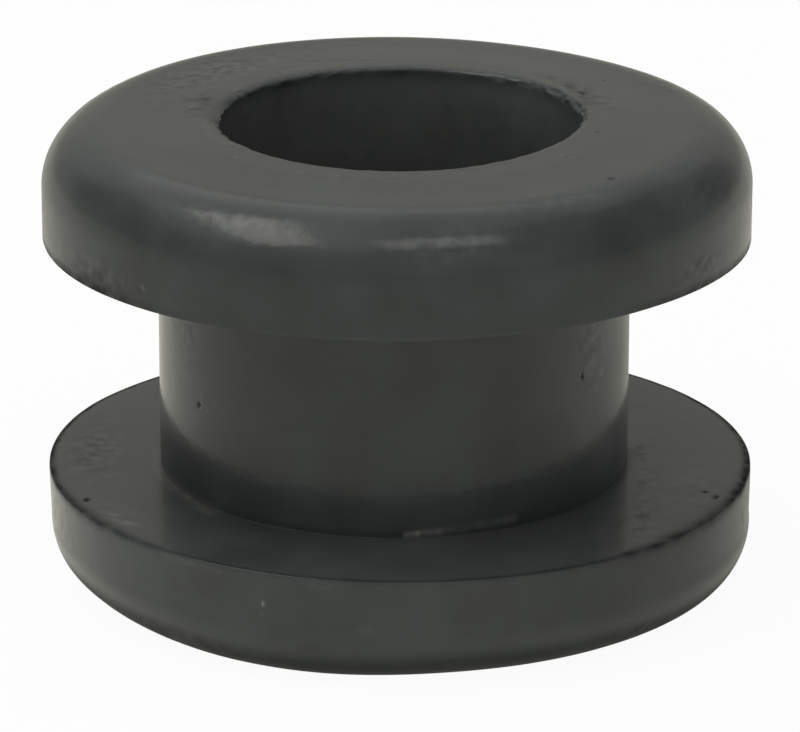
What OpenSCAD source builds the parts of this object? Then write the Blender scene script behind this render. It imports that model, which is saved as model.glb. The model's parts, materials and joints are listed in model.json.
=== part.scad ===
// Rubber panel grommet: a moulded ring that snaps into a round hole and lines it.
//
// The ring stands on its lower flange with the bore upright. Both flanges are
// alike: flat on the outside around the bore, rounded over at the outer
// shoulder, and cut square on the side that faces the panel. The panel's edge
// sits in the groove between them, around the neck.
//
// Origin: on the bore's axis, in the plane that the lower flange stands on.
// +Z runs up the bore. Millimetres.

/* [Outside] */
// Diameter of both flanges
flange_d = 28.6; // [24.8:0.1:60]
// Height over both flanges
body_h = 19; // [15.5:0.1:40]
// Radius of the rounded outer shoulder on each flange
shoulder_r = 2.6; // [0.5:0.1:4]

/* [Groove] */
// Diameter of the neck, which fills the panel's hole
neck_d = 19.1; // [15.5:0.1:23]
// Width of the groove, which takes the panel's thickness
groove_w = 9.7; // [2:0.1:13]
// Radius of the fillet where the neck meets each flange
foot_r = 0.4; // [0.1:0.1:0.9]

/* [Bore] */
// Diameter of the bore, which the cable or pipe runs through
bore_d = 14.4; // [4:0.1:18]

/* [Hidden] */

flange_r = flange_d / 2;
neck_r = neck_d / 2;
bore_r = bore_d / 2;
flange_t = (body_h - groove_w) / 2;
rubber = [0.13, 0.135, 0.14];
// How far a cutting outline reaches past the edge it trims
spare = 1;
$fn = 128;

// What is left of a square corner outside the round that replaces it. The
// corner is at [r, r] and the round's centre is at the origin.
module corner_waste(r) {
    difference() {
        square(r + spare);
        circle(r = r);
    }
}

// Outline of the space that the panel's edge fills, out past the flanges, with
// the neck's foot rounded into the lower flange.
module half_groove() {
    difference() {
        translate([neck_r, flange_t])
            square([flange_r - neck_r + spare, groove_w / 2 + spare]);
        difference() {
            translate([neck_r, flange_t])
                square(foot_r);
            translate([neck_r + foot_r, flange_t + foot_r])
                circle(r = foot_r);
        }
    }
}

// Lower half of the ring's section, from the standing plane up to mid-height.
module half_section() {
    difference() {
        translate([bore_r, 0])
            square([flange_r - bore_r, body_h / 2]);
        half_groove();
        translate([flange_r - shoulder_r, shoulder_r])
            mirror([0, 1])
                corner_waste(shoulder_r);
    }
}

// The two halves meet at mid-height, so both flanges always match.
module section() {
    half_section();
    translate([0, body_h])
        mirror([0, 1])
            half_section();
}

module grommet() {
    color(rubber)
        rotate_extrude()
            section();
}

grommet();
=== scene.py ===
# %% [markdown]
# # A moulded rubber grommet
#
# A grommet lines a hole in a panel so that a cable or a pipe can pass without
# being cut by the edge. This one is a single piece of black rubber: a short
# tube, called the neck, with a round flange at each end. The CAD model gives
# its exact sizes. This script gives it the surface that a mould and a little
# use leave: soft waves, a torn lip around the bore, pits, scratches and a
# black skin with a faint dusty bloom.

# %% Load the CAD frame
import json
import math

import bmesh
import bpy
import numpy as np
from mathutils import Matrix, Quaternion, Vector, noise


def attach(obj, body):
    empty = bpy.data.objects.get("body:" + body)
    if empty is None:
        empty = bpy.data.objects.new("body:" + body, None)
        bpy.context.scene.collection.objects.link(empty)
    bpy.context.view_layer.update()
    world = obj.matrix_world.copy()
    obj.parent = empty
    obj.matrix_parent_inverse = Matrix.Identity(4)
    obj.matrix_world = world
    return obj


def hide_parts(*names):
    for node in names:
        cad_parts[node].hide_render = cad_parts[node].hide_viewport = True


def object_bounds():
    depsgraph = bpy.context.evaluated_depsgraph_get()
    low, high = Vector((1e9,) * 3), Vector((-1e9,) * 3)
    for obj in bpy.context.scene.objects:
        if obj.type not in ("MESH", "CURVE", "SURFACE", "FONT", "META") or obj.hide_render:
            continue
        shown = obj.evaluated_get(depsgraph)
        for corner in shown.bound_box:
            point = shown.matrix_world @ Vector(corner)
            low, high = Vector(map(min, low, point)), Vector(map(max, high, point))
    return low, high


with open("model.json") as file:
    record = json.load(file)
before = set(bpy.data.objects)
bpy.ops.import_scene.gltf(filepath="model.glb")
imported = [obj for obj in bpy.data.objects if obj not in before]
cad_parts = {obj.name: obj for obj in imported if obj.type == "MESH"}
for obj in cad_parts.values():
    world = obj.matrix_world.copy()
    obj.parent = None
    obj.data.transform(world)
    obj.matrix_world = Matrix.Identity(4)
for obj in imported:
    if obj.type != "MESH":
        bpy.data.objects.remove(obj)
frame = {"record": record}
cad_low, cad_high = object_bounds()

print("CAD box in metres:", tuple(cad_low), tuple(cad_high))

# %% [markdown]
# ## Driving sizes
#
# Blender works in metres, but a mould maker thinks in millimetres, so the
# drawing below is in millimetres and is scaled once, when it becomes a mesh.
# The overall size comes from the CAD box. The bore and the groove come from
# the mounts in the record, where each is written as a radius and a length.

# %% Read the sizes
MM = 0.001
mounts = {mount["name"]: mount["dims"] for mount in frame["record"]["mounts"]}
height = (cad_high.z - cad_low.z) / MM
flange_radius = (cad_high.x - cad_low.x) / 2 / MM
bore_radius = mounts["bore"]["r_mm"]
neck_radius = mounts["groove"]["r_mm"]
groove_width = mounts["groove"]["length_mm"]
flange_thickness = (height - groove_width) / 2
print(f"flanges {2 * flange_radius:.1f} x {flange_thickness:.2f} mm")
print(f"neck {2 * neck_radius:.1f} mm, bore {2 * bore_radius:.1f} mm")

# %% [markdown]
# ## The outline, as a real mould leaves it
#
# The part is round, so its section is drawn once and turned about the bore's
# axis. Blender has a Screw modifier for this, but the section of a real
# moulding isn't quite the same all round. Its mould comes apart in pieces, and
# where they meet out of line, the flanges and the neck sit a little off each
# other. So every stretch of the outline carries a small sideways shift, and
# the turning is done in code, where that shift can be added.
#
# The outline is made of straight lines and arcs. Each knows its own length, so
# a point on the skin is named by two numbers: how far round it is, and how far
# along the outline. Rows are closer together where small detail will sit, at
# the lip of the bore and at the sharp edges. The two edges that face the
# groove are the mould's sharpest, and the corners where the neck starts are
# nearly square.

# %% Sizes that the mould changed
shoulder_round = 2.6
foot_round = 0.006
lip_round = 0.14
edge_round = 0.07
hanging_edge_round = 0.03
upper_flange = {"radius": flange_radius - 0.09, "shift": -0.09}
lower_flange = {"radius": flange_radius - 0.045, "shift": 0.045}
lower_taper = 0.06
neck_narrower = 0.055
neck_shift = -0.19
groove_low = flange_thickness + 0.02
groove_high = height - flange_thickness
bore_shift_top = -0.069
bore_shift_base = -0.02
wall_edge_strip = 0.6
lip_land_width = 1.4
bore_mouth_depth = 1.2
print(f"groove from {groove_low:.2f} to {groove_high:.2f} mm")

# %% Lines and arcs
outline = []


def add_stretch(name, length, point_at, shifts, rows):
    """One line or arc. point_at gives radius, level and the way out of the rubber."""
    start = outline[-1]["end"] if outline else 0.0
    outline.append({"name": name, "start": start, "end": start + length,
                    "point_at": point_at, "shifts": shifts, "rows": rows})


def add_line(name, start, end, shifts, rows):
    length = math.dist(start, end)
    out = ((end[1] - start[1]) / length, -(end[0] - start[0]) / length)

    def point_at(t):
        radius = start[0] + (end[0] - start[0]) * t
        level = start[1] + (end[1] - start[1]) * t
        return radius, level, out[0] + 0 * t, out[1] + 0 * t

    add_stretch(name, length, point_at, shifts, rows)


def add_arc(name, centre, radius, from_deg, to_deg, shifts, rows):
    """A hollow arc turns clockwise and has the air on its centre's side."""
    side = 1 if to_deg > from_deg else -1

    def point_at(t):
        angle = np.radians(from_deg + (to_deg - from_deg) * t)
        return (centre[0] + radius * np.cos(angle), centre[1] + radius * np.sin(angle),
                side * np.cos(angle), side * np.sin(angle))

    add_stretch(name, radius * math.radians(abs(to_deg - from_deg)), point_at, shifts, rows)


# %% Draw the lower half, from the bore outwards and up
neck = neck_radius - neck_narrower
low_side = lower_flange["radius"]
low_foot = low_side - lower_taper
lip_out = bore_radius + lip_round
all_bore_base = (bore_shift_base, bore_shift_base)
all_low = (lower_flange["shift"], lower_flange["shift"])
all_neck = (neck_shift, neck_shift)
add_line("base", (lip_out, 0), (low_foot - shoulder_round, 0),
         (bore_shift_base, lower_flange["shift"]), rows=8)
add_arc("lower_shoulder", (low_foot - shoulder_round, shoulder_round), shoulder_round,
        -90, 0, all_low, rows=24)
add_line("lower_rim", (low_foot, shoulder_round), (low_side, groove_low - edge_round),
         all_low, rows=12)
add_arc("lower_edge", (low_side - edge_round, groove_low - edge_round), edge_round,
        0, 90, all_low, rows=3)
add_line("lower_wall_edge", (low_side - edge_round, groove_low),
         (low_side - wall_edge_strip, groove_low), all_low, rows=7)
add_line("lower_wall", (low_side - wall_edge_strip, groove_low),
         (neck + foot_round, groove_low), (lower_flange["shift"], neck_shift), rows=18)
add_arc("lower_foot", (neck + foot_round, groove_low + foot_round), foot_round,
        270, 180, all_neck, rows=3)
print(f"lower flange {outline[-1]['end']:.2f} mm along")

# %% Draw the neck and the upper flange
high_side = upper_flange["radius"]
high_edge = high_side - hanging_edge_round
land = bore_radius + lip_land_width
all_high = (upper_flange["shift"], upper_flange["shift"])
all_bore_top = (bore_shift_top, bore_shift_top)
add_line("neck", (neck, groove_low + foot_round), (neck, groove_high - foot_round),
         all_neck, rows=26)
add_arc("upper_foot", (neck + foot_round, groove_high - foot_round), foot_round,
        180, 90, all_neck, rows=3)
add_line("upper_wall", (neck + foot_round, groove_high), (high_edge, groove_high),
         (neck_shift, upper_flange["shift"]), rows=7)
add_arc("upper_edge", (high_edge, groove_high + hanging_edge_round), hanging_edge_round,
        -90, 0, all_high, rows=3)
add_line("upper_rim", (high_side, groove_high + hanging_edge_round),
         (high_side, height - shoulder_round), all_high, rows=11)
add_arc("upper_shoulder", (high_side - shoulder_round, height - shoulder_round),
        shoulder_round, 0, 90, all_high, rows=26)
add_line("top", (high_side - shoulder_round, height), (land, height),
         (upper_flange["shift"], bore_shift_top), rows=17)
print(f"top reached after {outline[-1]['end']:.2f} mm")

# %% Draw the lip and go down the bore
mouth_level = height - bore_mouth_depth
add_line("lip_land", (land, height), (lip_out, height), all_bore_top, rows=12)
add_arc("top_lip", (lip_out, height - lip_round), lip_round, 90, 180, all_bore_top, rows=4)
add_line("bore_mouth", (bore_radius, height - lip_round), (bore_radius, mouth_level),
         all_bore_top, rows=8)
add_line("bore", (bore_radius, mouth_level), (bore_radius, lip_round),
         (bore_shift_top, bore_shift_base), rows=12)
add_arc("base_lip", (lip_out, lip_round), lip_round, 180, 270, all_bore_base, rows=3)
outline_length = outline[-1]["end"]
print(f"outline {outline_length:.2f} mm in {len(outline)} stretches")

# %% [markdown]
# ## Finding a place on the skin
#
# Everything that follows asks the same question: where in space is the point
# that lies this far round and this far along? It is asked for tens of
# thousands of corners, so it is answered for whole numpy arrays at once.
# Turns are in degrees, with -90 at the front, 0 at the right and 180 at the
# left.
#
# Known fault: Blender keeps each corner's distance along in 32 bits, and for
# the last row that comes out about a millionth of a millimetre past the
# outline's end. No stretch holds it, so that row falls to the origin and a
# skin closes the foot of the bore. Keeping the distances that are read within
# the outline's length would mend it.

# %% From turn and distance to a point
def read_outline(along):
    """Radius, level, way out and sideways shift, for an array of distances along."""
    radius, level, out_r, out_z, shift = (np.zeros(len(along)) for _ in range(5))
    for stretch in outline:
        inside = (along >= stretch["start"]) & (along <= stretch["end"])
        t = (along[inside] - stretch["start"]) / (stretch["end"] - stretch["start"])
        radius[inside], level[inside], out_r[inside], out_z[inside] = stretch["point_at"](t)
        shift[inside] = stretch["shifts"][0] * (1 - t) + stretch["shifts"][1] * t
    return radius, level, out_r, out_z, shift


def place(turn, radius, level, shift):
    """Points in millimetres, one row each."""
    angle = np.radians(turn)
    return np.stack([shift + radius * np.cos(angle), radius * np.sin(angle), level], axis=1)


ladder_steps = 4000
ladder = np.linspace(0, outline_length, ladder_steps + 1)
ladder_radius, ladder_level = read_outline(ladder)[:2]


def along_at(radius, level):
    """How far along the outline lies nearest to a radius and a level."""
    gap = np.hypot(ladder_radius - radius, ladder_level - level)
    return float(ladder[np.argmin(gap)])


print(f"the top of the neck is {along_at(neck_radius, groove_high):.2f} mm along")

# %% [markdown]
# ## Marks
#
# A new grommet has few marks, but each one shows: a pit where a bubble broke
# in the mould, a crumb of rubber torn at the lip, a thin scratch, a corner
# darkened with painted shade. Each could be painted as an image, but an image is
# stuck to one size. Here each mark is one line of numbers: where it lies, its
# half length and half width in millimetres, and how far it slants from level.
# One table says what each kind of mark does to the skin. lift raises it in
# millimetres, grain roughens it, dust and dirt cover it with pale or dark
# colour, speckle does so in small spots, and shine polishes it. Some of the pale
# colour is painted light and some of the dark colour is painted shade, as the
# marks below say.

# %% What each kind of mark does
mark_kinds = {
    "pit": {"lift": -0.11, "dirt": 0.85},
    "nick": {"lift": -0.07, "dirt": 0.55},
    "crumb": {"lift": 0.05, "dust": 0.10},
    "speck": {"lift": 0.025, "dust": 0.55},
    "scuff": {"lift": -0.02, "dust": 0.13, "grain": 0.03},
    "grain": {"grain": 0.035},
    "film": {"dust": 0.10},
    "grime": {"dirt": 0.50},
    "polish": {"shine": 1.0},
    "speckle": {"speckle": 1.0},
}
print(len(mark_kinds), "kinds of mark")

# %% Marks on the upper flange and the bore
# kind, turn, radius, level, half length, half width, slant, strength
marks = [
    # crumbs and tears at the lip
    ("crumb", 149.9, 7.55, 19.0, 0.22, 0.16, 20, 1.0),
    ("crumb", 120.4, 7.83, 19.0, 0.16, 0.12, 0, 0.8),
    ("crumb", 119.0, 7.39, 19.0, 0.14, 0.12, 0, 1.0),
    ("crumb", 115.8, 7.50, 19.0, 0.16, 0.12, 0, 0.8),
    ("crumb", -150.0, 7.70, 19.0, 0.34, 0.18, 10, 1.0),
    ("crumb", -159.5, 7.37, 19.0, 0.26, 0.16, 0, 1.0),
    ("crumb", 5.9, 7.42, 19.0, 0.30, 0.16, 0, 1.2),
    ("crumb", -0.7, 7.50, 19.0, 0.22, 0.15, 0, 1.0),
    ("nick", 163.0, 8.00, 19.0, 0.40, 0.28, 20, 0.35),
    ("nick", 25.0, 8.25, 19.0, 0.40, 0.26, 0, 0.35),
    ("nick", -14.5, 8.15, 19.0, 0.22, 0.14, 0, 0.5),
    ("nick", 32.6, 9.98, 19.0, 0.18, 0.12, 0, 0.5),
    ("speck", -138.4, 8.38, 19.0, 0.16, 0.12, 0, 0.35),
    ("speck", -39.1, 8.23, 19.0, 0.20, 0.10, 0, 0.25),
    ("speck", -38.9, 8.69, 19.0, 0.18, 0.09, 0, 0.25),
    # rough patches on the top
    ("grain", 168.0, 8.35, 19.0, 3.6, 0.80, 0, 0.4),
    ("grain", 28.0, 8.30, 19.0, 4.2, 0.75, 0, 0.4),
    ("grain", 108.0, 8.60, 19.0, 4.0, 0.8, 0, 0.5),
    ("grime", 165.0, 8.00, 19.0, 2.2, 0.60, 0, 0.36),
    ("grime", 25.0, 8.20, 19.0, 2.6, 0.50, 0, 0.20),
    ("film", -165.0, 7.75, 19.0, 2.4, 0.35, 0, 0.5),
    ("speckle", 140.0, 10.2, 19.0, 7.5, 2.2, 0, 1.0),
    ("speckle", 168.0, 8.3, 19.0, 3.0, 0.9, 0, 1.0),
    ("speckle", 25.0, 8.6, 19.0, 4.0, 0.9, 0, 0.9),
    ("speckle", 28.0, 12.0, 18.95, 5.0, 1.3, 0, 0.6),
    ("speckle", -98.0, 8.4, 19.0, 5.0, 0.7, 0, 0.6),
    ("speckle", -64.0, 12.4, 18.9, 3.2, 0.8, 0, 0.5),
    ("nick", -44.4, 11.57, 18.99, 0.30, 0.20, 0, 1.0),
    ("grain", 60.0, 13.0, 18.6, 4.5, 0.9, 0, 0.6),
    ("grain", 150.0, 13.2, 18.5, 5.0, 0.8, 0, 0.6),
    # the shoulder and the rim
    ("polish", -113.0, 13.42, 18.20, 3.4, 0.50, 0, 1.0),
    ("speckle", -117.0, 13.25, 18.35, 4.6, 1.0, 0, 0.8),
    ("speckle", -82.0, 13.60, 17.90, 3.4, 0.9, 0, 0.8),
    ("polish", -81.0, 13.52, 18.10, 1.8, 0.30, 0, 1.0),
    # the grime at -151, -24 and -48 is painted shade on the shoulder where it turns from the
    # lamps
    ("grime", -151.0, 13.60, 17.8, 2.6, 0.8, 0, 0.45),
    ("grime", -24.0, 13.60, 17.9, 3.4, 1.2, 0, 0.60),
    ("grime", -48.0, 13.45, 18.2, 3.0, 1.2, 0, 0.35),
    ("scuff", -133.5, 14.21, 15.15, 0.20, 0.15, -60, 0.9),
    ("film", -178.0, 14.21, 16.0, 3.0, 1.4, 0, 0.3),
    ("film", -112.0, 12.35, 18.85, 8.0, 0.6, 0, 0.35),
    ("film", -70.0, 12.35, 18.85, 7.0, 0.6, 0, 0.3),
    ("film", -4.0, 14.21, 16.2, 3.0, 1.4, 0, 0.3),
    ("speckle", -173.0, 14.21, 15.8, 3.0, 1.6, 0, 0.9),
    ("speckle", -146.0, 14.21, 15.1, 3.4, 0.9, 0, 1.0),
    # this grime is painted shade under the upper flange's lower edge, on the left
    ("grime", -146.0, 14.21, 14.75, 3.4, 0.45, 0, 0.7),
    ("speckle", -33.0, 14.21, 15.2, 3.0, 0.8, 0, 1.0),
    ("speckle", -12.0, 14.21, 16.2, 2.6, 1.6, 0, 0.8),
    ("speckle", -30.0, 13.7, 17.9, 4.0, 1.0, 0, 0.4),
]
print(len(marks), "marks on the upper flange")

# %% Marks on the neck and the lower flange
marks += [
    # small hard marks
    ("pit", -144.3, 9.5, 8.77, 0.15, 0.12, 0, 1.0),
    ("speck", -143.0, 9.5, 9.25, 0.10, 0.08, 0, 0.35),
    ("speck", -141.0, 9.5, 8.70, 0.10, 0.08, 0, 0.30),
    ("pit", -38.6, 9.5, 10.12, 0.13, 0.16, 0, 0.9),
    ("scuff", -29.0, 9.5, 9.9, 0.30, 0.26, 0, 0.35),
    ("pit", -157.0, 13.46, 4.67, 0.20, 0.30, 30, 0.9),
    ("pit", -18.9, 12.91, 4.67, 0.14, 0.18, 0, 0.8),
    ("pit", -20.7, 13.45, 4.67, 0.26, 0.20, 0, 0.8),
    ("nick", -11.0, 14.10, 4.67, 0.30, 0.14, 0, 1.2),
    ("speck", -111.7, 14.25, 3.36, 0.085, 0.21, 0, 1.1),
    ("speck", -111.9, 14.25, 2.90, 0.06, 0.10, 0, 0.25),
    # spotted and cloudy places
    ("speckle", -34.0, 9.5, 11.0, 1.6, 3.4, 0, 0.9),
    ("speckle", -150.0, 9.5, 11.5, 1.6, 3.0, 0, 0.7),
    ("film", -28.0, 9.5, 6.4, 1.5, 1.4, 0, 0.6),
    ("scuff", -48.0, 12.0, 4.67, 1.0, 0.5, 60, 0.3),
    ("scuff", -52.0, 13.4, 4.67, 0.45, 0.32, 0, 0.35),
    ("speckle", 179.0, 12.4, 4.67, 6.0, 2.0, 0, 1.0),
    ("speckle", -20.0, 12.4, 4.67, 4.5, 1.8, 0, 0.5),
    ("film", -148.0, 12.9, 4.67, 2.6, 1.2, 0, 0.45),
    ("speckle", -144.0, 13.2, 4.67, 1.2, 0.7, 0, 1.0),
    ("film", -144.0, 13.3, 4.67, 1.2, 0.32, 22, 1.6),
    ("film", -149.0, 13.3, 4.67, 0.8, 0.30, 22, 1.3),
    ("speckle", -128.0, 13.6, 0.9, 4.5, 1.1, 0, 1.0),
    ("speckle", -40.0, 13.6, 0.9, 5.0, 1.3, 0, 1.0),
    ("speckle", -12.0, 14.2, 3.0, 3.0, 1.6, 0, 1.0),
    ("speckle", -168.0, 14.2, 3.2, 4.5, 1.8, 0, 0.9),
    ("film", -15.0, 12.2, 4.67, 4.5, 1.8, 0, 0.8),
    # the pale film on the lower rim's left end is painted reflection of the bright paper
    ("film", -166.0, 14.2, 3.0, 3.4, 1.8, 0, 0.15),
    ("film", -8.0, 14.2, 3.0, 3.6, 1.8, 0, 0.1),
    ("film", -95.0, 14.25, 2.6, 0.6, 0.25, 0, 0.6),
    ("grime", -104.0, 14.2, 1.7, 1.1, 0.35, 8, 0.35),
]
print(len(marks), "marks with those on the lower flange")

# %% Marks round the back and on the underside
marks += [
    # the upper flange
    ("speckle", 60.0, 14.21, 15.8, 4.0, 1.4, 0, 0.8),
    ("speckle", 118.0, 14.21, 15.2, 3.0, 0.9, 0, 0.9),
    ("grime", 84.0, 13.60, 17.8, 3.0, 0.9, 0, 0.4),
    ("scuff", 71.0, 14.21, 16.4, 0.30, 0.16, 30, 0.8),
    ("speck", 103.0, 14.21, 15.7, 0.12, 0.09, 0, 0.5),
    ("pit", 134.0, 14.21, 16.6, 0.13, 0.13, 0, 0.8),
    # the neck and the lower flange
    ("pit", 66.0, 9.5, 8.2, 0.14, 0.12, 0, 0.9),
    ("speck", 121.0, 9.5, 11.6, 0.12, 0.09, 0, 0.4),
    ("speckle", 100.0, 9.5, 9.5, 2.4, 3.0, 0, 0.7),
    ("speckle", 112.0, 14.2, 2.8, 4.0, 1.5, 0, 0.8),
    ("speck", 55.0, 14.25, 3.2, 0.10, 0.16, 0, 0.7),
    ("nick", 128.0, 14.20, 4.55, 0.26, 0.14, 0, 0.8),
    # the underside
    ("speckle", -60.0, 10.2, 0.0, 6.0, 1.8, 0, 0.9),
    ("speckle", 130.0, 9.6, 0.0, 5.0, 1.6, 0, 0.9),
    ("scuff", 20.0, 10.4, 0.0, 1.2, 0.4, 30, 0.6),
    ("pit", -120.0, 9.0, 0.0, 0.16, 0.16, 0, 0.8),
    ("film", 70.0, 10.5, 0.0, 5.0, 1.8, 0, 0.5),
]
print(len(marks), "marks in all")

# %% [markdown]
# ## Scratches and streaks
#
# Some marks are long and thin and follow a path, such as a scratch across the
# flange, a pale line of painted highlight along the neck's foot, or the edge of
# a torn band. Each is a list of points, and the skin asks how far it is from the
# nearest piece of that path.

# %% Paths
# name, half width, effects, points as (turn, radius, level)
paths = [
    # the first five paths are painted highlight: pale colour along the neck's foot, where its
    # corner catches the light on the left and at the front
    ("pale streak by the left foot", 0.34, {"dust": 0.13},
     [(176, 9.6, 4.67), (-166, 9.65, 4.67), (-153, 9.65, 4.67), (-144, 9.75, 4.67),
      (-137, 9.95, 4.67)]),
    ("left foot line", 0.24, {"dust": 0.07},
     [(180, 9.5, 4.85), (-166, 9.5, 4.80), (-153, 9.5, 4.80), (-144, 9.5, 4.76),
      (-136, 9.5, 4.74)]),
    ("front foot line", 0.20, {"lift": 0.01, "dust": 0.34},
     [(-87, 9.5, 4.80), (-84.5, 9.5, 4.81)]),
    ("front foot line, middle", 0.22, {"lift": 0.005, "dust": 0.17},
     [(-84, 9.5, 4.84), (-79, 9.5, 4.86)]),
    ("front foot line, faint end", 0.28, {"dust": 0.08},
     [(-79, 9.5, 4.92), (-74, 9.5, 4.90), (-70, 9.5, 4.98), (-60, 9.5, 5.02)]),
    ("line under the left edge", 0.22, {"dust": 0.04},
     [(-130, 14.25, 4.46), (-119, 14.25, 4.38)]),
    ("chevron", 0.15, {"dust": 0.04},
     [(-104, 14.25, 4.42), (-102.3, 14.25, 4.22), (-100.6, 14.25, 4.40)]),
    ("swirls on the right", 0.60, {"speckle": 1.0, "dust": 0.02},
     [(6, 10.0, 4.67), (-14, 10.3, 4.67), (-28, 11.1, 4.67), (-39, 12.2, 4.67),
      (-46, 13.4, 4.67)]),
    ("torn band, right", 0.45, {"lift": 0.012, "dust": 0.02},
     [(44, 8.00, 19.0), (30, 7.84, 19.0), (22, 7.70, 19.0), (15.6, 7.52, 19.0)]),
    ("torn band's edge", 0.45, {"lift": -0.015, "dirt": 0.14, "speckle": 0.5},
     [(44, 8.30, 19.0), (30, 8.14, 19.0), (22, 8.00, 19.0), (12, 7.80, 19.0)]),
    ("arc on the right", 0.30, {"dirt": 0.12},
     [(-47, 12.2, 4.67), (-40, 11.6, 4.67), (-32, 11.9, 4.67)]),
]
print(len(paths), "paths")

# %% [markdown]
# ## Dark lines along the sharp edges
#
# Under the upper flange's hanging edge the colour is darkened in a thin line,
# as painted shade. Along the lower flange's outer edge a thin dark line is drawn
# in the colour, over a shallow groove. Such places could be found by measuring
# how sharply the mesh bends, but here the edges are known, so three tables say
# how dark the lines are along them and how wide the lower one is at each turn.

# %% Tables of (turn, amount) or (turn, width in millimetres)
lower_edge_darkening = [(180, 1.0), (-165, 1.0), (-150, 0.9), (-139, 0.55), (-125, 0.30),
             (-95, 0.25), (-60, 0.30), (-47, 0.85), (-20, 1.0), (0, 1.0), (40, 0.9),
             (90, 0.6), (140, 0.9)]
lower_edge_darkening_width = [(180, 0.14), (-165, 0.18), (-150, 0.30), (-141, 0.26), (-130, 0.15),
                   (-95, 0.14), (-58, 0.15), (-46, 0.34), (-28, 0.36), (-12, 0.24),
                   (5, 0.15), (90, 0.14)]
# painted shade under the upper flange's hanging edge, by turn
upper_edge_painted_shade = [(180, 0.7), (-165, 1.0), (-140, 0.9), (-125, 0.2), (-100, 0.0),
                   (-55, 0.1), (-42, 0.8), (-25, 1.0), (-8, 0.8), (15, 0.3), (90, 0.0),
                   (150, 0.2)]
print(f"dirt up to {max(width for turn, width in lower_edge_darkening_width)} mm wide by the lower edge")

# %% [markdown]
# ## The flat sheet
#
# The skin starts as a flat sheet whose columns go round the part and whose
# rows go along the outline. It could be given detail with a Subdivision
# Surface modifier, but that would spread the triangles evenly. Here bmesh cuts
# extra squares only where a small mark needs them, and because every corner
# still knows its two numbers, the new corners land exactly on the round
# surface when the sheet is rolled up.

# %% Make the flat sheet
columns = 360
back_turn = 90
sheet = bmesh.new()
row_places = []
for stretch in outline:
    step = (stretch["end"] - stretch["start"]) / stretch["rows"]
    row_places += [stretch["start"] + step * n for n in range(stretch["rows"])]
row_places.append(outline_length)
turns = [back_turn + 360 * column / columns for column in range(columns + 1)]
grid = [[sheet.verts.new((turn, along, 0)) for turn in turns] for along in row_places]
for lower, upper in zip(grid, grid[1:]):
    for left in range(columns):
        sheet.faces.new((lower[left], lower[left + 1], upper[left + 1], upper[left]))
print(f"sheet of {columns} columns by {len(row_places) - 1} rows")


# %% How near a mark or a path is
def offsets(turn, along, radius, mark_turn, mark_along):
    """Millimetres round the part and along the outline, from a mark to each place."""
    round_by = (turn - mark_turn + 180) % 360 - 180
    return np.radians(round_by) * radius, along - mark_along


def nearness_to_mark(turn, along, radius, mark, margin=0.0):
    """1 at the middle of a mark, 0 at its edge and outside."""
    mark_turn, mark_radius, level, half_length, half_width, slant = mark[1:7]
    across, up = offsets(turn, along, radius, mark_turn, along_at(mark_radius, level))
    c, s = math.cos(math.radians(slant)), math.sin(math.radians(slant))
    far = (((across * c + up * s) / (half_length + margin)) ** 2
           + ((up * c - across * s) / (half_width + margin)) ** 2)
    return np.clip(1 - far, 0, 1) ** 2


def nearness_to_path(turn, along, radius, points, half_width):
    """1 on a path, 0 at its edge and outside."""
    nearest = np.full(len(turn), np.inf)
    for (turn_a, radius_a, level_a), (turn_b, radius_b, level_b) in zip(points, points[1:]):
        from_x, from_y = offsets(turn, along, radius, turn_a, along_at(radius_a, level_a))
        way_x = math.radians((turn_b - turn_a + 180) % 360 - 180) * radius_a
        way_y = along_at(radius_b, level_b) - along_at(radius_a, level_a)
        t = np.clip((from_x * way_x + from_y * way_y) / (way_x ** 2 + way_y ** 2), 0, 1)
        nearest = np.minimum(nearest, np.hypot(from_x - t * way_x, from_y - t * way_y))
    return np.clip(1 - (nearest / half_width) ** 2, 0, 1) ** 2


small_half_width = 0.3
small_marks = [mark for mark in marks if mark[5] <= small_half_width]
thin_paths = [path for path in paths if path[1] <= small_half_width]
print(len(small_marks), "marks and", len(thin_paths), "paths need extra squares")

# %% Cut extra squares where they are needed
# twice: once a little way past each mark, and once close to it
first_margin = 0.12
second_margin = 0.02
for margin in (first_margin, second_margin):
    centres = np.array([face.calc_center_median()[:2] for face in sheet.faces])
    turn, along = centres[:, 0], centres[:, 1]
    radius = read_outline(along)[0]
    near = np.zeros(len(centres), bool)
    for mark in small_marks:
        near |= nearness_to_mark(turn, along, radius, mark, margin) > 0
    for _, half_width, _, points in thin_paths:
        near |= nearness_to_path(turn, along, radius, points, half_width + margin) > 0
    sheet.faces.ensure_lookup_table()
    edges = {edge for index in np.flatnonzero(near) for edge in sheet.faces[index].edges}
    bmesh.ops.subdivide_edges(sheet, edges=list(edges), cuts=1, use_grid_fill=True)
odd_faces = [face for face in sheet.faces if len(face.verts) > 4]
bmesh.ops.triangulate(sheet, faces=odd_faces)
print(f"{len(sheet.faces)} faces after cutting")

# %% [markdown]
# ## How the real skin differs from the drawing
#
# Six things move the skin. Rubber shrinks as it cures, so it has soft waves.
# The top is slightly crowned. The corners of the mould are fuller in some
# places than in others. The walls of the groove stand a little higher or lower
# as they go round. The flash at the lip was torn off by hand. And there are
# the marks. Most add to one number, lift, that goes straight out of the
# surface. The walls move up or down, and the torn lip moves sideways and down.

# %% Values that change round the part
def round_table(turn, table):
    """Reads a table of (turn, value) pairs at each turn, going smoothly from one to the next."""
    fine = np.arange(0, 360, 0.5)
    values = np.interp(fine, [t for t, v in table], [v for t, v in table], period=360)
    reach = 10
    for _ in range(2):
        values = sum(np.roll(values, step) for step in range(-reach, reach + 1))
        values /= 2 * reach + 1
    return np.interp(turn, fine, values, period=360)


def along_table(along, places, values):
    """Reads values at places along the outline."""
    return np.interp(along, places, values)


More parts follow.
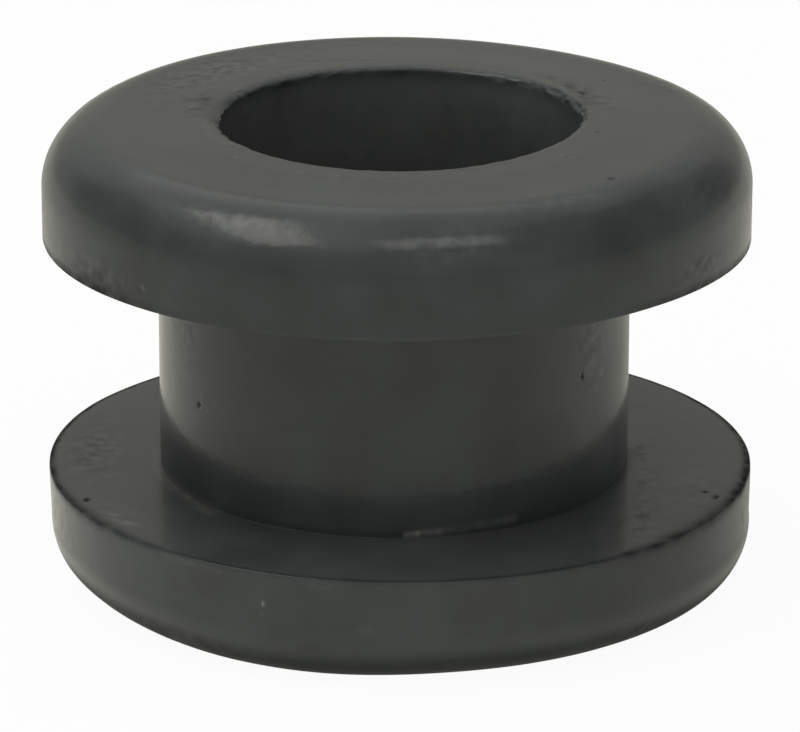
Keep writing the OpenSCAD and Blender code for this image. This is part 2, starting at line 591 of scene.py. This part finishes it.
def noise_at(points, size, seed):
    """Smooth noise from 0 to 1 at each point, with bumps about size millimetres wide."""
    start = Vector((seed * 17.3, seed * 5.1, seed * 9.7))
    return np.array([0.5 + 0.5 * noise.noise(Vector(point) / size + start)
                     for point in points])


corner_list = list(sheet.verts)
turn = np.array([corner.co.x for corner in corner_list])
along = np.array([corner.co.y for corner in corner_list])
radius, level, out_r, out_z, shift = read_outline(along)
points = place(turn, radius, level, shift)
span = {stretch["name"]: (stretch["start"], stretch["end"]) for stretch in outline}
print(f"{len(corner_list)} corners to move")

# %% Keep the corners at the neck's two ends sharp
# smooth shading would roll the light round them, as if they were filled in
sharp_rows = [span[foot][end] for foot in ("lower_foot", "upper_foot") for end in (0, 1)]
row_match = 1e-4
for edge in sheet.edges:
    low, high = (corner.co.y for corner in edge.verts)
    if min(max(abs(low - row), abs(high - row)) for row in sharp_rows) < row_match:
        edge.smooth = False
print(sum(not edge.smooth for edge in sheet.edges), "sharp edges")

# %% Soft waves and a crowned top
long_waves = noise_at(points, size=6.0, seed=1)
short_waves = noise_at(points, size=1.6, seed=2)
lift = -0.020 * long_waves - 0.006 * short_waves
top_start, top_end = span["top"]
crown_sink = 0.05
lift -= crown_sink * along_table(
    along, [top_start - 3.2, top_start - 2.0, top_start - 0.8, top_start,
            top_start + 1.2, top_start + 2.6, top_end],
    [0, 0.2, 0.7, 0.95, 0.85, 0.2, 0])
print(f"the crown sinks the top's edge by {crown_sink} mm")

# %% Corners fuller or rounder than drawn
lower_fuller = [(-178, 0.15), (-166, 0.10), (-152, -0.04), (-138, 0.12), (-122, 0.38),
                (-105, 0.42), (-92, 0.20), (-82, 0.0), (-65, 0.0), (-52, 0.04),
                (-38, 0.20), (-20, 0.36), (5, 0.42), (60, 0.3), (120, 0.3), (170, 0.2)]
upper_fuller = [(-150, 0.0), (-40, 0.0), (0, 0.12), (20, 0.08), (45, -0.15), (70, -0.10),
                (95, 0.08), (112, 0.16), (130, 0.14), (155, 0.0), (170, -0.12),
                (182, -0.05)]
rounding = np.abs(out_r) + np.abs(out_z) - 1
for name, table in (("lower_shoulder", lower_fuller), ("upper_shoulder", upper_fuller)):
    inside = (along >= span[name][0]) & (along <= span[name][1])
    lift[inside] += (round_table(turn, table) * rounding)[inside]
print("shoulders reshaped")

# %% Flange walls higher or lower than drawn
upper_sag = [(180, 0.05), (-165, 0.06), (-140, 0.03), (-120, 0.02), (-90, 0.0),
             (-45, -0.07), (-30, -0.04), (-10, 0.07), (30, 0.04), (120, 0.03)]
lower_rise = [(-165, 0.0), (-120, 0.0), (-90, -0.02), (-60, -0.04), (-30, -0.03),
              (0, 0.02), (20, 0.03), (42, 0.0), (60, -0.02), (120, -0.02), (140, 0.0),
              (156, 0.06), (178, 0.03)]
rim_in = [(-170, -0.03), (-150, 0.0), (-30, 0.0), (0, 0.045), (60, 0.0), (150, 0.0)]
level_shift = -round_table(turn, upper_sag) * along_table(
    along, [span["upper_wall"][0], span["upper_edge"][0], span["upper_edge"][1],
            span["upper_rim"][1]], [0, 1, 1, 0])
level_shift += round_table(turn, lower_rise) * along_table(
    along, [span["lower_rim"][0], span["lower_edge"][0], span["lower_wall_edge"][1],
            span["lower_wall"][1]], [0, 1, 1, 0])
radius_shift = round_table(turn, rim_in) * along_table(
    along, [span["lower_shoulder"][0], span["lower_shoulder"][1], span["lower_edge"][0],
            span["lower_edge"][1]], [0, 1, 0.3, 0])
print("walls moved")

# %% The torn lip
lip_pull = [(-165, -0.05), (-176, -0.12), (174, -0.14), (160, -0.09), (146, -0.06),
            (130, 0.0), (70, 0.06), (52, 0.22), (43, 0.33), (33, 0.26), (22, 0.18),
            (10, 0.22), (1, 0.18), (-10, 0.0), (-22, -0.12), (-35, -0.22), (-50, -0.21),
            (-70, -0.07), (-90, -0.04), (-110, -0.04), (-135, -0.12), (-150, -0.12)]
raggedness = [(180, 0.12), (150, 0.09), (120, 0.06), (90, 0.025), (60, 0.05), (42, 0.11),
              (15, 0.12), (-8, 0.09), (-30, 0.04), (-90, 0.025), (-130, 0.03), (-162, 0.09)]
reach_down_the_bore = 1.6
reach_over_the_top = 0.45
torn_edge_width = 0.20
lip_middle = sum(span["top_lip"]) / 2
from_lip = along - lip_middle
lip_reach = np.where(from_lip > 0, reach_down_the_bore, reach_over_the_top)
at_lip = np.exp(-(from_lip / lip_reach) ** 2)
at_very_edge = np.exp(-(from_lip / torn_edge_width) ** 2)
ragged = round_table(turn, raggedness)
big_tears = 2 * noise_at(points, size=0.8, seed=3) - 1
small_tears = 2 * noise_at(points, size=0.33, seed=4) - 1
sunk = 0.6 + 0.8 * noise_at(points, size=0.45, seed=5)
radius_shift += at_lip * round_table(turn, lip_pull)
radius_shift += at_very_edge * ragged * (1.3 * big_tears + 0.9 * small_tears)
level_shift -= at_very_edge * ragged * sunk
print(f"the lip is torn by up to {ragged.max():.2f} mm")

# %% The marks and the paths
dust, dirt, shine, speckle = (np.zeros(len(corner_list)) for _ in range(4))
grain_noise = 2 * noise_at(points, size=0.50, seed=6) - 1
fine_noise = 2 * noise_at(points, size=0.32, seed=7) - 1


def leave(effects, nearness):
    """Adds what a mark does to the skin, as strongly as each corner is near it."""
    lift[:] += effects.get("lift", 0) * nearness
    lift[:] += effects.get("grain", 0) * nearness * (grain_noise + 0.7 * fine_noise - 0.6)
    dust[:] += effects.get("dust", 0) * nearness * (1 + 0.6 * grain_noise)
    dirt[:] += effects.get("dirt", 0) * nearness * (1 + 0.4 * grain_noise)
    shine[:] += effects.get("shine", 0) * nearness
    speckle[:] += effects.get("speckle", 0) * nearness


for mark in marks:
    strength = mark[7]
    leave(mark_kinds[mark[0]], strength * nearness_to_mark(turn, along, radius, mark))
for _, half_width, effects, path_points in paths:
    leave(effects, nearness_to_path(turn, along, radius, path_points, half_width))
print(f"dust up to {dust.max():.2f}, dirt up to {dirt.max():.2f}")

# %% Dark lines along the two edges of the groove, painted shade under the upper one
def dark_edge_line(middle, width, table):
    """How strongly an edge's dark line lies on each corner, broken up a little by the grain."""
    line = round_table(turn, table) * np.exp(-((along - middle) / width) ** 2)
    return line * (0.85 + 0.35 * grain_noise)


hanging_shade_width = 0.16
# a thin dark line drawn in the colour over a shallow groove, along the lower flange's outer edge
lower_line = dark_edge_line(span["lower_wall_edge"][0] + 0.05,
                        round_table(turn, lower_edge_darkening_width), lower_edge_darkening)
leave({"lift": -0.045, "dirt": 1.1}, lower_line)
# painted shade in a thin line under the upper flange's hanging edge
hanging_shade_line = dark_edge_line(span["upper_edge"][1] + 0.04, hanging_shade_width, upper_edge_painted_shade)
leave({"dirt": 1.0}, hanging_shade_line)
print(f"dirt along the lower edge up to {lower_line.max():.2f}")

# %% [markdown]
# ## Painted light and shade that lie over a whole area
#
# Three places that lie in shade are lightened with pale colour, as painted
# light carried by the dust film: the inside of the bore, the corner under the
# upper flange and the flat of the groove. The foot of the neck and a little way
# up its sides are darkened, as painted shade carried by the dirt film, and the
# colour is darker along the bore's lip. A table says how much there is at each
# turn, and a second one how it starts and ends along the outline.

# %% Painted light in the bore, in the groove and under the upper flange
# painted light in the shaded inside of the bore, more on the left
bore_painted_light = [(170, 0.16), (140, 0.14), (90, 0.12), (40, 0.08), (10, 0.07), (-90, 0.10)]
dust += round_table(turn, bore_painted_light) * along_table(
    along, [span["top_lip"][1], span["top_lip"][1] + 0.6, span["base_lip"][0]], [0, 1, 1])
# painted light on the shaded flat of the groove, most at the front
groove_painted_light = [(180, 0.03), (-150, 0.05), (-120, 0.06), (-90, 0.10), (-60, 0.10),
               (-40, 0.08), (-20, 0.05), (20, 0.03), (90, 0.02)]
dust += round_table(turn, groove_painted_light) * along_table(
    along, [span["lower_wall_edge"][0], span["lower_wall_edge"][0] + 0.3,
            span["lower_wall"][1], span["lower_foot"][1]], [0, 1, 1, 0])
# painted light on the neck just under the upper flange, where it lies in shade
under_flange_painted_light = 0.045
dust += under_flange_painted_light * along_table(
    along, [span["neck"][1] - 3.0, span["neck"][1] - 0.5, span["upper_foot"][1]], [0, 1, 0])
print(f"mean dust {dust.mean():.3f}")

# %% Painted shade at the neck's foot and up its sides, and a darker lip
# painted shade in the corner at the neck's foot
foot_painted_shade = [(180, 0.2), (-150, 0.2), (-120, 0.4), (-95, 0.4), (-60, 0.4), (-40, 0.3),
             (-10, 0.3), (30, 0.4), (120, 0.5)]
dirt += round_table(turn, foot_painted_shade) * along_table(
    along, [span["lower_wall"][1] - 0.25, span["lower_foot"][0] + 0.02,
            span["lower_foot"][1], span["neck"][0] + 0.35], [0, 1, 1, 0])
# painted shade a little way up the neck's sides, most on the left
neck_side_painted_shade = [(180, 0.2), (-172, 0.4), (-155, 0.5), (-143, 0.35), (-130, 0.1),
                  (-115, 0.0), (-5, 0.0), (15, 0.1), (90, 0.1)]
dirt += round_table(turn, neck_side_painted_shade) * along_table(
    along, [span["lower_foot"][0], span["lower_foot"][1], span["neck"][0] + 1.5,
            span["neck"][0] + 2.2], [0, 0.8, 0.8, 0])
# the colour is darker along the bore's lip
lip_darkening = [(180, 0.25), (-150, 0.2), (-120, 0.35), (-60, 0.35), (-30, 0.2), (90, 0.1)]
lip_darkening_width = 0.35
dirt += round_table(turn, lip_darkening) * np.exp(-(from_lip / lip_darkening_width) ** 2)
print(f"mean dirt {dirt.mean():.3f}")

# %% [markdown]
# ## Rolling the skin up
#
# Now every corner gets its place. It is kept inside the CAD box, so a crumb
# never stands higher than the part's drawn height. The films are stored on the
# corners as attributes, which a material can read and which move with the
# mesh. The seam where the sheet meets itself is at the back, and its doubled
# corners are merged.

# %% Roll the sheet into the part
radius_now = radius + out_r * lift + radius_shift
level_now = np.clip(level + out_z * lift + level_shift, 0, height)
rolled = place(turn, radius_now, level_now, shift)
too_far = np.maximum(np.hypot(rolled[:, 0], rolled[:, 1]) / flange_radius, 1)
rolled[:, :2] /= too_far[:, None]
films = {"dust": np.clip(dust, 0, 1), "dirt": np.clip(dirt, 0, 1),
         "shine": np.clip(shine, 0, 1), "speckle": np.clip(speckle, 0, 1)}
for film, amounts in films.items():
    layer = sheet.verts.layers.float.new(film)
    for corner, amount in zip(sheet.verts, amounts):
        corner[layer] = amount
for corner, spot in zip(sheet.verts, rolled):
    corner.co = Vector(spot) * MM
seam_gap = 0.0005 * MM
bmesh.ops.remove_doubles(sheet, verts=sheet.verts, dist=seam_gap)
bmesh.ops.recalc_face_normals(sheet, faces=sheet.faces)
for face in sheet.faces:
    face.smooth = True
skin_mesh = bpy.data.meshes.new("grommet_skin")
sheet.to_mesh(skin_mesh)
sheet.free()
triangles = sum(len(polygon.vertices) - 2 for polygon in skin_mesh.polygons)
print(f"skin: {len(skin_mesh.vertices)} corners, {triangles} triangles")

# %% Put the skin in the scene
grommet = bpy.data.objects.new("grommet_skin", skin_mesh)
bpy.context.scene.collection.objects.link(grommet)
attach(grommet, "root")
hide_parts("grommet")
print("the skin stands for the CAD node named grommet")

# %% [markdown]
# ## Moulded black rubber
#
# The rubber is a general purpose compound, filled with carbon black and
# moulded in steel tools. Carbon black makes it a dark grey that is faintly
# blue, and the tools leave it satin: light is spread wide, but bright lamps
# still draw soft bands on the round shoulders. Wax comes to the surface over
# time and clouds it in patches, which is called bloom.
#
# Light comes back from it in two ways. The filled rubber is rough and spreads
# it wide, which gives the broad soft shading. Over it lies a thin skin that set
# against the polished steel, and that skin draws the sharper edges of the lamps
# and of the paper. One roughness can't give both, so the skin is the shader's
# coat. The colour is two near greys mixed by slow noise, and the roughness
# drifts by the same noise. Over that lie the films that each corner already
# carries: real dust and dirt, and pale and dark colour that is painted light and
# painted shade in some places. Where these films lie, the skin is hidden, so the
# coat fades out there. A painted texture could hold all this too, but noise in the object's
# own millimetres keeps its scale from every side and however close one comes.

# %% Colours
def linear(hex_colour):
    """An sRGB hex colour as the linear colour that shader sockets take."""
    parts = [int(hex_colour[n:n + 2], 16) / 255 for n in (1, 3, 5)]
    return tuple(part / 12.92 if part <= 0.04045 else ((part + 0.055) / 1.055) ** 2.4
                 for part in parts) + (1.0,)


rubber_dark = linear("#282d2e")
rubber_pale = linear("#33393a")
# pale colour for real dust and bloom, and also for painted light in the bore, the groove, under
# the upper flange and along the neck's foot
dust_and_painted_light_colour = linear("#9a9a94")
# dark colour for real dirt, and also for painted shade at the neck's foot, up its sides, on the
# shoulders and under the upper flange's edge
dirt_and_painted_shade_colour = linear("#17191a")
print("rubber, linear:", [round(part, 4) for part in rubber_dark[:3]])


# %% One helper for every node
def add_node(tree, kind, settings=None, **links):
    """Adds one node, with its settings, and its inputs by name or by number."""
    node = tree.nodes.new(kind)
    for name, value in (settings or {}).items():
        setattr(node, name, value)
    for name, value in links.items():
        place_of = int(name[5:]) if name.startswith("input") else name.replace("_", " ")
        socket = node.inputs[place_of]
        if isinstance(value, bpy.types.NodeSocket):
            tree.links.new(value, socket)
        else:
            socket.default_value = value
    return node


rubber = bpy.data.materials.new("moulded_black_rubber")
rubber.use_nodes = True
tree = rubber.node_tree
tree.nodes.clear()
print("made", rubber.name)

# %% Patterns in millimetres
# bloom drifts over about 3 mm and mottles over about 0.8 mm. The moulded
# grain is really about 0.02 mm, too fine to show, and is drawn at 0.16 mm
mm_in_a_metre = 1000.0
metres = add_node(tree, "ShaderNodeTexCoord").outputs["Object"]
in_mm = add_node(tree, "ShaderNodeVectorMath", {"operation": "SCALE"},
                 Vector=metres, Scale=mm_in_a_metre).outputs["Vector"]
bloom = add_node(tree, "ShaderNodeTexNoise", Vector=in_mm, Scale=1 / 3.0,
                 Detail=3.0).outputs["Fac"]
mottle = add_node(tree, "ShaderNodeTexNoise", Vector=in_mm, Scale=1 / 0.8,
                  Detail=2.0).outputs["Fac"]
moulded_grain = add_node(tree, "ShaderNodeTexNoise", Vector=in_mm, Scale=1 / 0.16,
                         Detail=1.0).outputs["Fac"]
patches = add_node(tree, "ShaderNodeMapRange", Value=bloom, From_Min=0.35, From_Max=0.65,
                   To_Min=0.0, To_Max=1.0).outputs["Result"]
uneven = add_node(tree, "ShaderNodeMapRange", Value=mottle, From_Min=0.3, From_Max=0.7,
                  To_Min=0.85, To_Max=1.15).outputs["Result"]
print(len(tree.nodes), "pattern nodes")

# %% Specks of dust and dirt
# a speck is really 0.05 mm or less, and is drawn as a spot of 0.45 mm
spots = add_node(tree, "ShaderNodeTexNoise", Vector=in_mm, Scale=1 / 0.45,
                 Detail=1.0).outputs["Fac"]
pale_spots = add_node(tree, "ShaderNodeMapRange", Value=spots, From_Min=0.50, From_Max=0.68,
                      To_Min=0.0, To_Max=0.08).outputs["Result"]
dark_spots = add_node(tree, "ShaderNodeMapRange", Value=spots, From_Min=0.50, From_Max=0.34,
                      To_Min=0.0, To_Max=0.42).outputs["Result"]
film_amounts = {film: add_node(tree, "ShaderNodeAttribute",
                               {"attribute_name": film}).outputs["Fac"]
                for film in films}
print("films read from the skin:", ", ".join(film_amounts))

# %% Colour, with dirt, dust, painted shade and painted light over it
dust_spots = add_node(tree, "ShaderNodeMath", {"operation": "MULTIPLY"},
                      input0=film_amounts["speckle"], input1=pale_spots).outputs["Value"]
dark_spots_dirt_and_shade = add_node(tree, "ShaderNodeMath", {"operation": "MULTIPLY_ADD"},
                      input0=film_amounts["speckle"], input1=dark_spots,
                      input2=film_amounts["dirt"]).outputs["Value"]
uneven_dust_and_painted_light = add_node(tree, "ShaderNodeMath", {"operation": "MULTIPLY_ADD"},
                       input0=film_amounts["dust"], input1=uneven,
                       input2=dust_spots).outputs["Value"]
clean = add_node(tree, "ShaderNodeMix", {"data_type": "RGBA"}, Factor=patches,
                 input6=rubber_dark, input7=rubber_pale).outputs[2]
with_dirt_and_painted_shade = add_node(tree, "ShaderNodeMix", {"data_type": "RGBA"}, Factor=dark_spots_dirt_and_shade,
                 input6=clean, input7=dirt_and_painted_shade_colour).outputs[2]
with_dust_and_painted_light = add_node(tree, "ShaderNodeMix", {"data_type": "RGBA"}, Factor=uneven_dust_and_painted_light,
                 input6=with_dirt_and_painted_shade, input7=dust_and_painted_light_colour).outputs[2]
print("colour:", with_dust_and_painted_light.node.name)

# %% Roughness: satin, dull under dirt and painted shade, smoother where rubbed
# the thin smooth skin is hidden under dirt, dust, painted shade and painted light
drifting = add_node(tree, "ShaderNodeMapRange", Value=bloom, From_Min=0.3, From_Max=0.7,
                    To_Min=0.46, To_Max=0.56).outputs["Result"]
rubbed = add_node(tree, "ShaderNodeMath", {"operation": "MULTIPLY_ADD"},
                  input0=film_amounts["shine"], input1=-0.12, input2=drifting).outputs["Value"]
dulled = add_node(tree, "ShaderNodeMath", {"operation": "MULTIPLY_ADD"},
                  input0=film_amounts["dirt"], input1=0.35, input2=rubbed).outputs["Value"]
hidden = add_node(tree, "ShaderNodeMath", {"operation": "ADD"},
                  input0=dark_spots_dirt_and_shade, input1=uneven_dust_and_painted_light).outputs["Value"]
bare_skin = add_node(tree, "ShaderNodeMapRange", Value=hidden, From_Min=0.0, From_Max=1.0,
                     To_Min=0.78, To_Max=0.03).outputs["Result"]
print("roughness:", dulled.node.name)

# %% Bump for the grain, and the finished shader
# clean rubber has an IOR of about 1.52. The bloom on it mirrors less, so both
# layers are set lower. Satin rubber has a roughness of about 0.5
fine_height = add_node(tree, "ShaderNodeMath", {"operation": "MULTIPLY_ADD"},
                       input0=moulded_grain, input1=0.35, input2=mottle).outputs["Value"]
grain_bump = add_node(tree, "ShaderNodeBump", Strength=1.0, Distance=0.012 * MM,
                      Height=fine_height).outputs["Normal"]
rubber_shader = add_node(tree, "ShaderNodeBsdfPrincipled", Base_Color=with_dust_and_painted_light,
                         Roughness=dulled, IOR=1.36, Normal=grain_bump,
                         Coat_Weight=bare_skin, Coat_Roughness=0.17, Coat_IOR=1.38,
                         Coat_Normal=grain_bump)
add_node(tree, "ShaderNodeOutputMaterial", Surface=rubber_shader.outputs["BSDF"])
skin_mesh.materials.append(rubber)
print("rubber has", len(tree.nodes), "nodes")

# %% [markdown]
# ## The paper it stands on
#
# The grommet stands on white paper, in front of a pale card. White paper would
# need a lot of light to look white, and that light would wash the rubber out.
# Instead the paper's material gives the camera white by itself, and only a
# share of it answers to the lamps, so the grommet still leaves a faint shadow.
#
# The rubber is a little shiny, and what it mirrors is the paper's own colour,
# which is not quite white. That mirrored paper isn't evenly lit. It is darkest
# where it touches the grommet, darker where the lamps throw the grommet's
# shadow, behind it and to its right, and it fades far from the lamps. Each
# shade is a soft round patch on the paper, in millimetres from the bore's axis,
# so it stays on the paper from whichever side it is looked at.

# %% Shades that the rubber finds on the paper
# near is the share of light left inside the distance from, far outside the distance to
paper_shades = [
    {"around": (0, 0, 0), "from": 13.5, "to": 15.4, "near": 0.15, "far": 1.0},
    {"around": (14, 16, 0), "from": 12, "to": 28, "near": 0.58, "far": 1.0},
    {"around": (20, -12, 0), "from": 6, "to": 16, "near": 0.72, "far": 1.0},
    {"around": (0, 0, 0), "from": 30, "to": 66, "near": 1.0, "far": 0.66},
]


def light_left(tree):
    """The share of the light that reaches the paper, as a socket."""
    where = add_node(tree, "ShaderNodeTexCoord").outputs["Object"]
    left = 1.0
    for shade in paper_shades:
        middle = tuple(part * MM for part in shade["around"])
        away = add_node(tree, "ShaderNodeVectorMath", {"operation": "DISTANCE"},
                        input0=where, input1=middle).outputs["Value"]
        lit = add_node(tree, "ShaderNodeMapRange", {"interpolation_type": "SMOOTHSTEP"},
                       Value=away, From_Min=shade["from"] * MM, From_Max=shade["to"] * MM,
                       To_Min=shade["near"], To_Max=shade["far"]).outputs["Result"]
        left = add_node(tree, "ShaderNodeMath", {"operation": "MULTIPLY"},
                        input0=left, input1=lit).outputs["Value"]
    return left


print(len(paper_shades), "shades on the paper")

# %% Paper that looks white by itself
own_white_share = 0.95
black = (0, 0, 0, 1)
white = (1, 1, 1, 1)


def paper_finish(name, true_colour, shaded=False):
    """Matt paper that the camera sees nearly white and a shiny surface sees in its own colour."""
    finish = bpy.data.materials.new(name)
    finish.use_nodes = True
    tree = finish.node_tree
    tree.nodes.clear()
    ray = add_node(tree, "ShaderNodeLightPath").outputs
    mirrored = add_node(tree, "ShaderNodeMath", {"operation": "ADD"},
                        input0=ray["Is Glossy Ray"],
                        input1=ray["Is Transmission Ray"]).outputs["Value"]
    seen = add_node(tree, "ShaderNodeMath", {"operation": "ADD"},
                    input0=ray["Is Camera Ray"], input1=mirrored).outputs["Value"]
    share = add_node(tree, "ShaderNodeMath", {"operation": "MULTIPLY"},
                     input0=seen, input1=own_white_share).outputs["Value"]
    own_colour = linear(true_colour)
    if shaded:
        own_colour = add_node(tree, "ShaderNodeMix", {"data_type": "RGBA"},
                              Factor=light_left(tree), input6=black,
                              input7=own_colour).outputs[2]
    shown = add_node(tree, "ShaderNodeMix", {"data_type": "RGBA"}, Factor=mirrored,
                     input6=white, input7=own_colour).outputs[2]
    matt = add_node(tree, "ShaderNodeBsdfDiffuse", Color=linear("#f0efec"))
    glow = add_node(tree, "ShaderNodeEmission", Strength=1.0, Color=shown)
    blend = add_node(tree, "ShaderNodeMixShader", Fac=share, input1=matt.outputs["BSDF"],
                     input2=glow.outputs["Emission"])
    add_node(tree, "ShaderNodeOutputMaterial", Surface=blend.outputs["Shader"])
    return finish


floor_paper = paper_finish("matt_white_paper", "#efede1", shaded=True)
backdrop_card = paper_finish("matt_pale_card", "#a09e94")
print("papers:", floor_paper.name, backdrop_card.name)

# %% [markdown]
# ## Floor and backdrop
#
# The paper is one wide disc, with a ring of card standing round its edge, so
# no view from the side looks past its end. The card close behind the part
# curves up out of the paper, so no line shows where they meet.

# %% Lay the paper and the card
def add_stage(name, finish, corners, faces):
    mesh = bpy.data.meshes.new(name)
    mesh.from_pydata(corners, [], faces)
    mesh.materials.append(finish)
    piece = bpy.data.objects.new(name, mesh)
    bpy.context.scene.collection.objects.link(piece)
    print("laid", name)


stage_radius = 1.5
stage_sides = 64
ring_height = 0.16
edge_points = [(stage_radius * math.cos(2 * math.pi * side / stage_sides),
                stage_radius * math.sin(2 * math.pi * side / stage_sides))
               for side in range(stage_sides)]
floor_corners = [(x, y, 0) for x, y in edge_points]
add_stage("paper_floor", floor_paper, floor_corners, [tuple(range(stage_sides))])

# %% Stand the ring of card round it
ring_corners = floor_corners + [(x, y, ring_height) for x, y in edge_points]
ring_faces = []
for side in range(stage_sides):
    after = (side + 1) % stage_sides
    ring_faces.append((side, after, after + stage_sides, side + stage_sides))
add_stage("paper_ring", backdrop_card, ring_corners, ring_faces)

# %% Stand the card up
card_distance = 0.8
card_half_width = 0.54
card_height = 0.36
card_bend = 0.1
bend_steps = range(0, 91, 15)
sweep = [(card_distance - card_bend + card_bend * math.sin(math.radians(a)),
          card_bend - card_bend * math.cos(math.radians(a))) for a in bend_steps]
sweep.append((card_distance, card_height))
card_corners = [(x, y, z) for y, z in sweep for x in (-card_half_width, card_half_width)]
card_faces = [(2 * n, 2 * n + 1, 2 * n + 3, 2 * n + 2) for n in range(len(sweep) - 1)]
add_stage("paper_backdrop", backdrop_card, card_corners, card_faces)

# %% [markdown]
# ## Lamps
#
# Black rubber shows very little of its own colour. What the eye reads is where
# the lamps are mirrored, so the lamps are placed by asking, for each bright
# band on the rubber, which direction it mirrors. A softbox high on the left
# draws the streak along the left shoulder, and a smaller one high in front
# draws the fainter streak beside it. A very wide and dim one overhead lights
# the flat top, one low at the back joins its light to the card's, and one in
# front fills the side that faces the camera. A picture of a studio wrapped
# round the scene could do the same, but lamps can be moved one at a time.

# %% Softboxes
# an area lamp of 4 watts a square metre looks as bright as a white of strength 1
lamp_distance = 0.7
watts_for_white = 4
lamp_colour = linear("#fffef7")[:3]


def add_softbox(name, azimuth, elevation, wide, tall, brightness, tilt=0):
    """A lamp that faces the part. Azimuth 0 is behind it, 90 right. Angles are in degrees."""
    data = bpy.data.lights.new(name, "AREA")
    data.shape = "RECTANGLE"
    data.size = 2 * lamp_distance * math.tan(math.radians(wide / 2))
    data.size_y = 2 * lamp_distance * math.tan(math.radians(tall / 2))
    data.energy = watts_for_white * data.size * data.size_y * brightness
    data.color = lamp_colour
    lamp = bpy.data.objects.new(name, data)
    a, e = math.radians(azimuth), math.radians(elevation)
    way = Vector((math.sin(a) * math.cos(e), math.cos(a) * math.cos(e), math.sin(e)))
    lamp.location = way * lamp_distance
    lamp.rotation_mode = "QUATERNION"
    lamp.rotation_quaternion = (way.to_track_quat("Z", "Y")
                                @ Quaternion((0, 0, 1), math.radians(tilt)))
    bpy.context.scene.collection.objects.link(lamp)
    print(f"{name}: {data.size:.2f} x {data.size_y:.2f} m, {data.energy:.2f} W")


add_softbox("left_softbox", -106, 60, 45, 20, 2.5, tilt=-25)
add_softbox("right_softbox", 158, 61, 28, 17, 1.9)
add_softbox("overhead_softbox", -60, 74, 92, 66, 0.36)
add_softbox("low_back_softbox", -8, 38, 70, 26, 0.11)
add_softbox("front_softbox", -172, 26, 110, 40, 0.20)

# %% [markdown]
# ## The room
#
# Light also comes from everywhere else in a pale room, weakly. A plain white
# world gives that, and keeps the far side of the part from going black.

# %% The room's light
world = bpy.data.worlds.new("studio_room")
bpy.context.scene.world = world
world.use_nodes = True
world.node_tree.nodes.clear()
room = add_node(world.node_tree, "ShaderNodeBackground", Color=white, Strength=0.30)
add_node(world.node_tree, "ShaderNodeOutputWorld", Surface=room.outputs["Background"])
print("room strength", room.inputs["Strength"].default_value)

# %% [markdown]
# ## The camera
#
# The grommet is small, so the camera is close, with a long lens. It looks down
# by about 19 degrees, which shows the bore as a flat oval and the top of the
# lower flange as a thin crescent.

# %% Camera
camera_data = bpy.data.cameras.new("studio_camera")
camera_data.lens = 252
camera_data.sensor_width = 36
camera_data.clip_start = 0.01
camera = bpy.data.objects.new("studio_camera", camera_data)
bpy.context.scene.collection.objects.link(camera)
bpy.context.scene.camera = camera
camera_elevation = math.radians(18.98)
camera_distance = 226.5 * MM
camera_roll = math.radians(0.135)
looks_at = Vector((0.049, 0, 8.506)) * MM
backwards = Vector((0, -math.cos(camera_elevation), math.sin(camera_elevation)))
camera.location = looks_at + backwards * camera_distance
camera.rotation_mode = "QUATERNION"
camera.rotation_quaternion = ((-backwards).to_track_quat("-Z", "Y")
                              @ Quaternion((0, 0, 1), camera_roll))
bpy.context.scene.view_settings.view_transform = "Standard"
print("camera at", tuple(round(part, 4) for part in camera.location))

# %% [markdown]
#
# The finish must not change the part's size.

# %% Update the scene
bpy.context.view_layer.update()
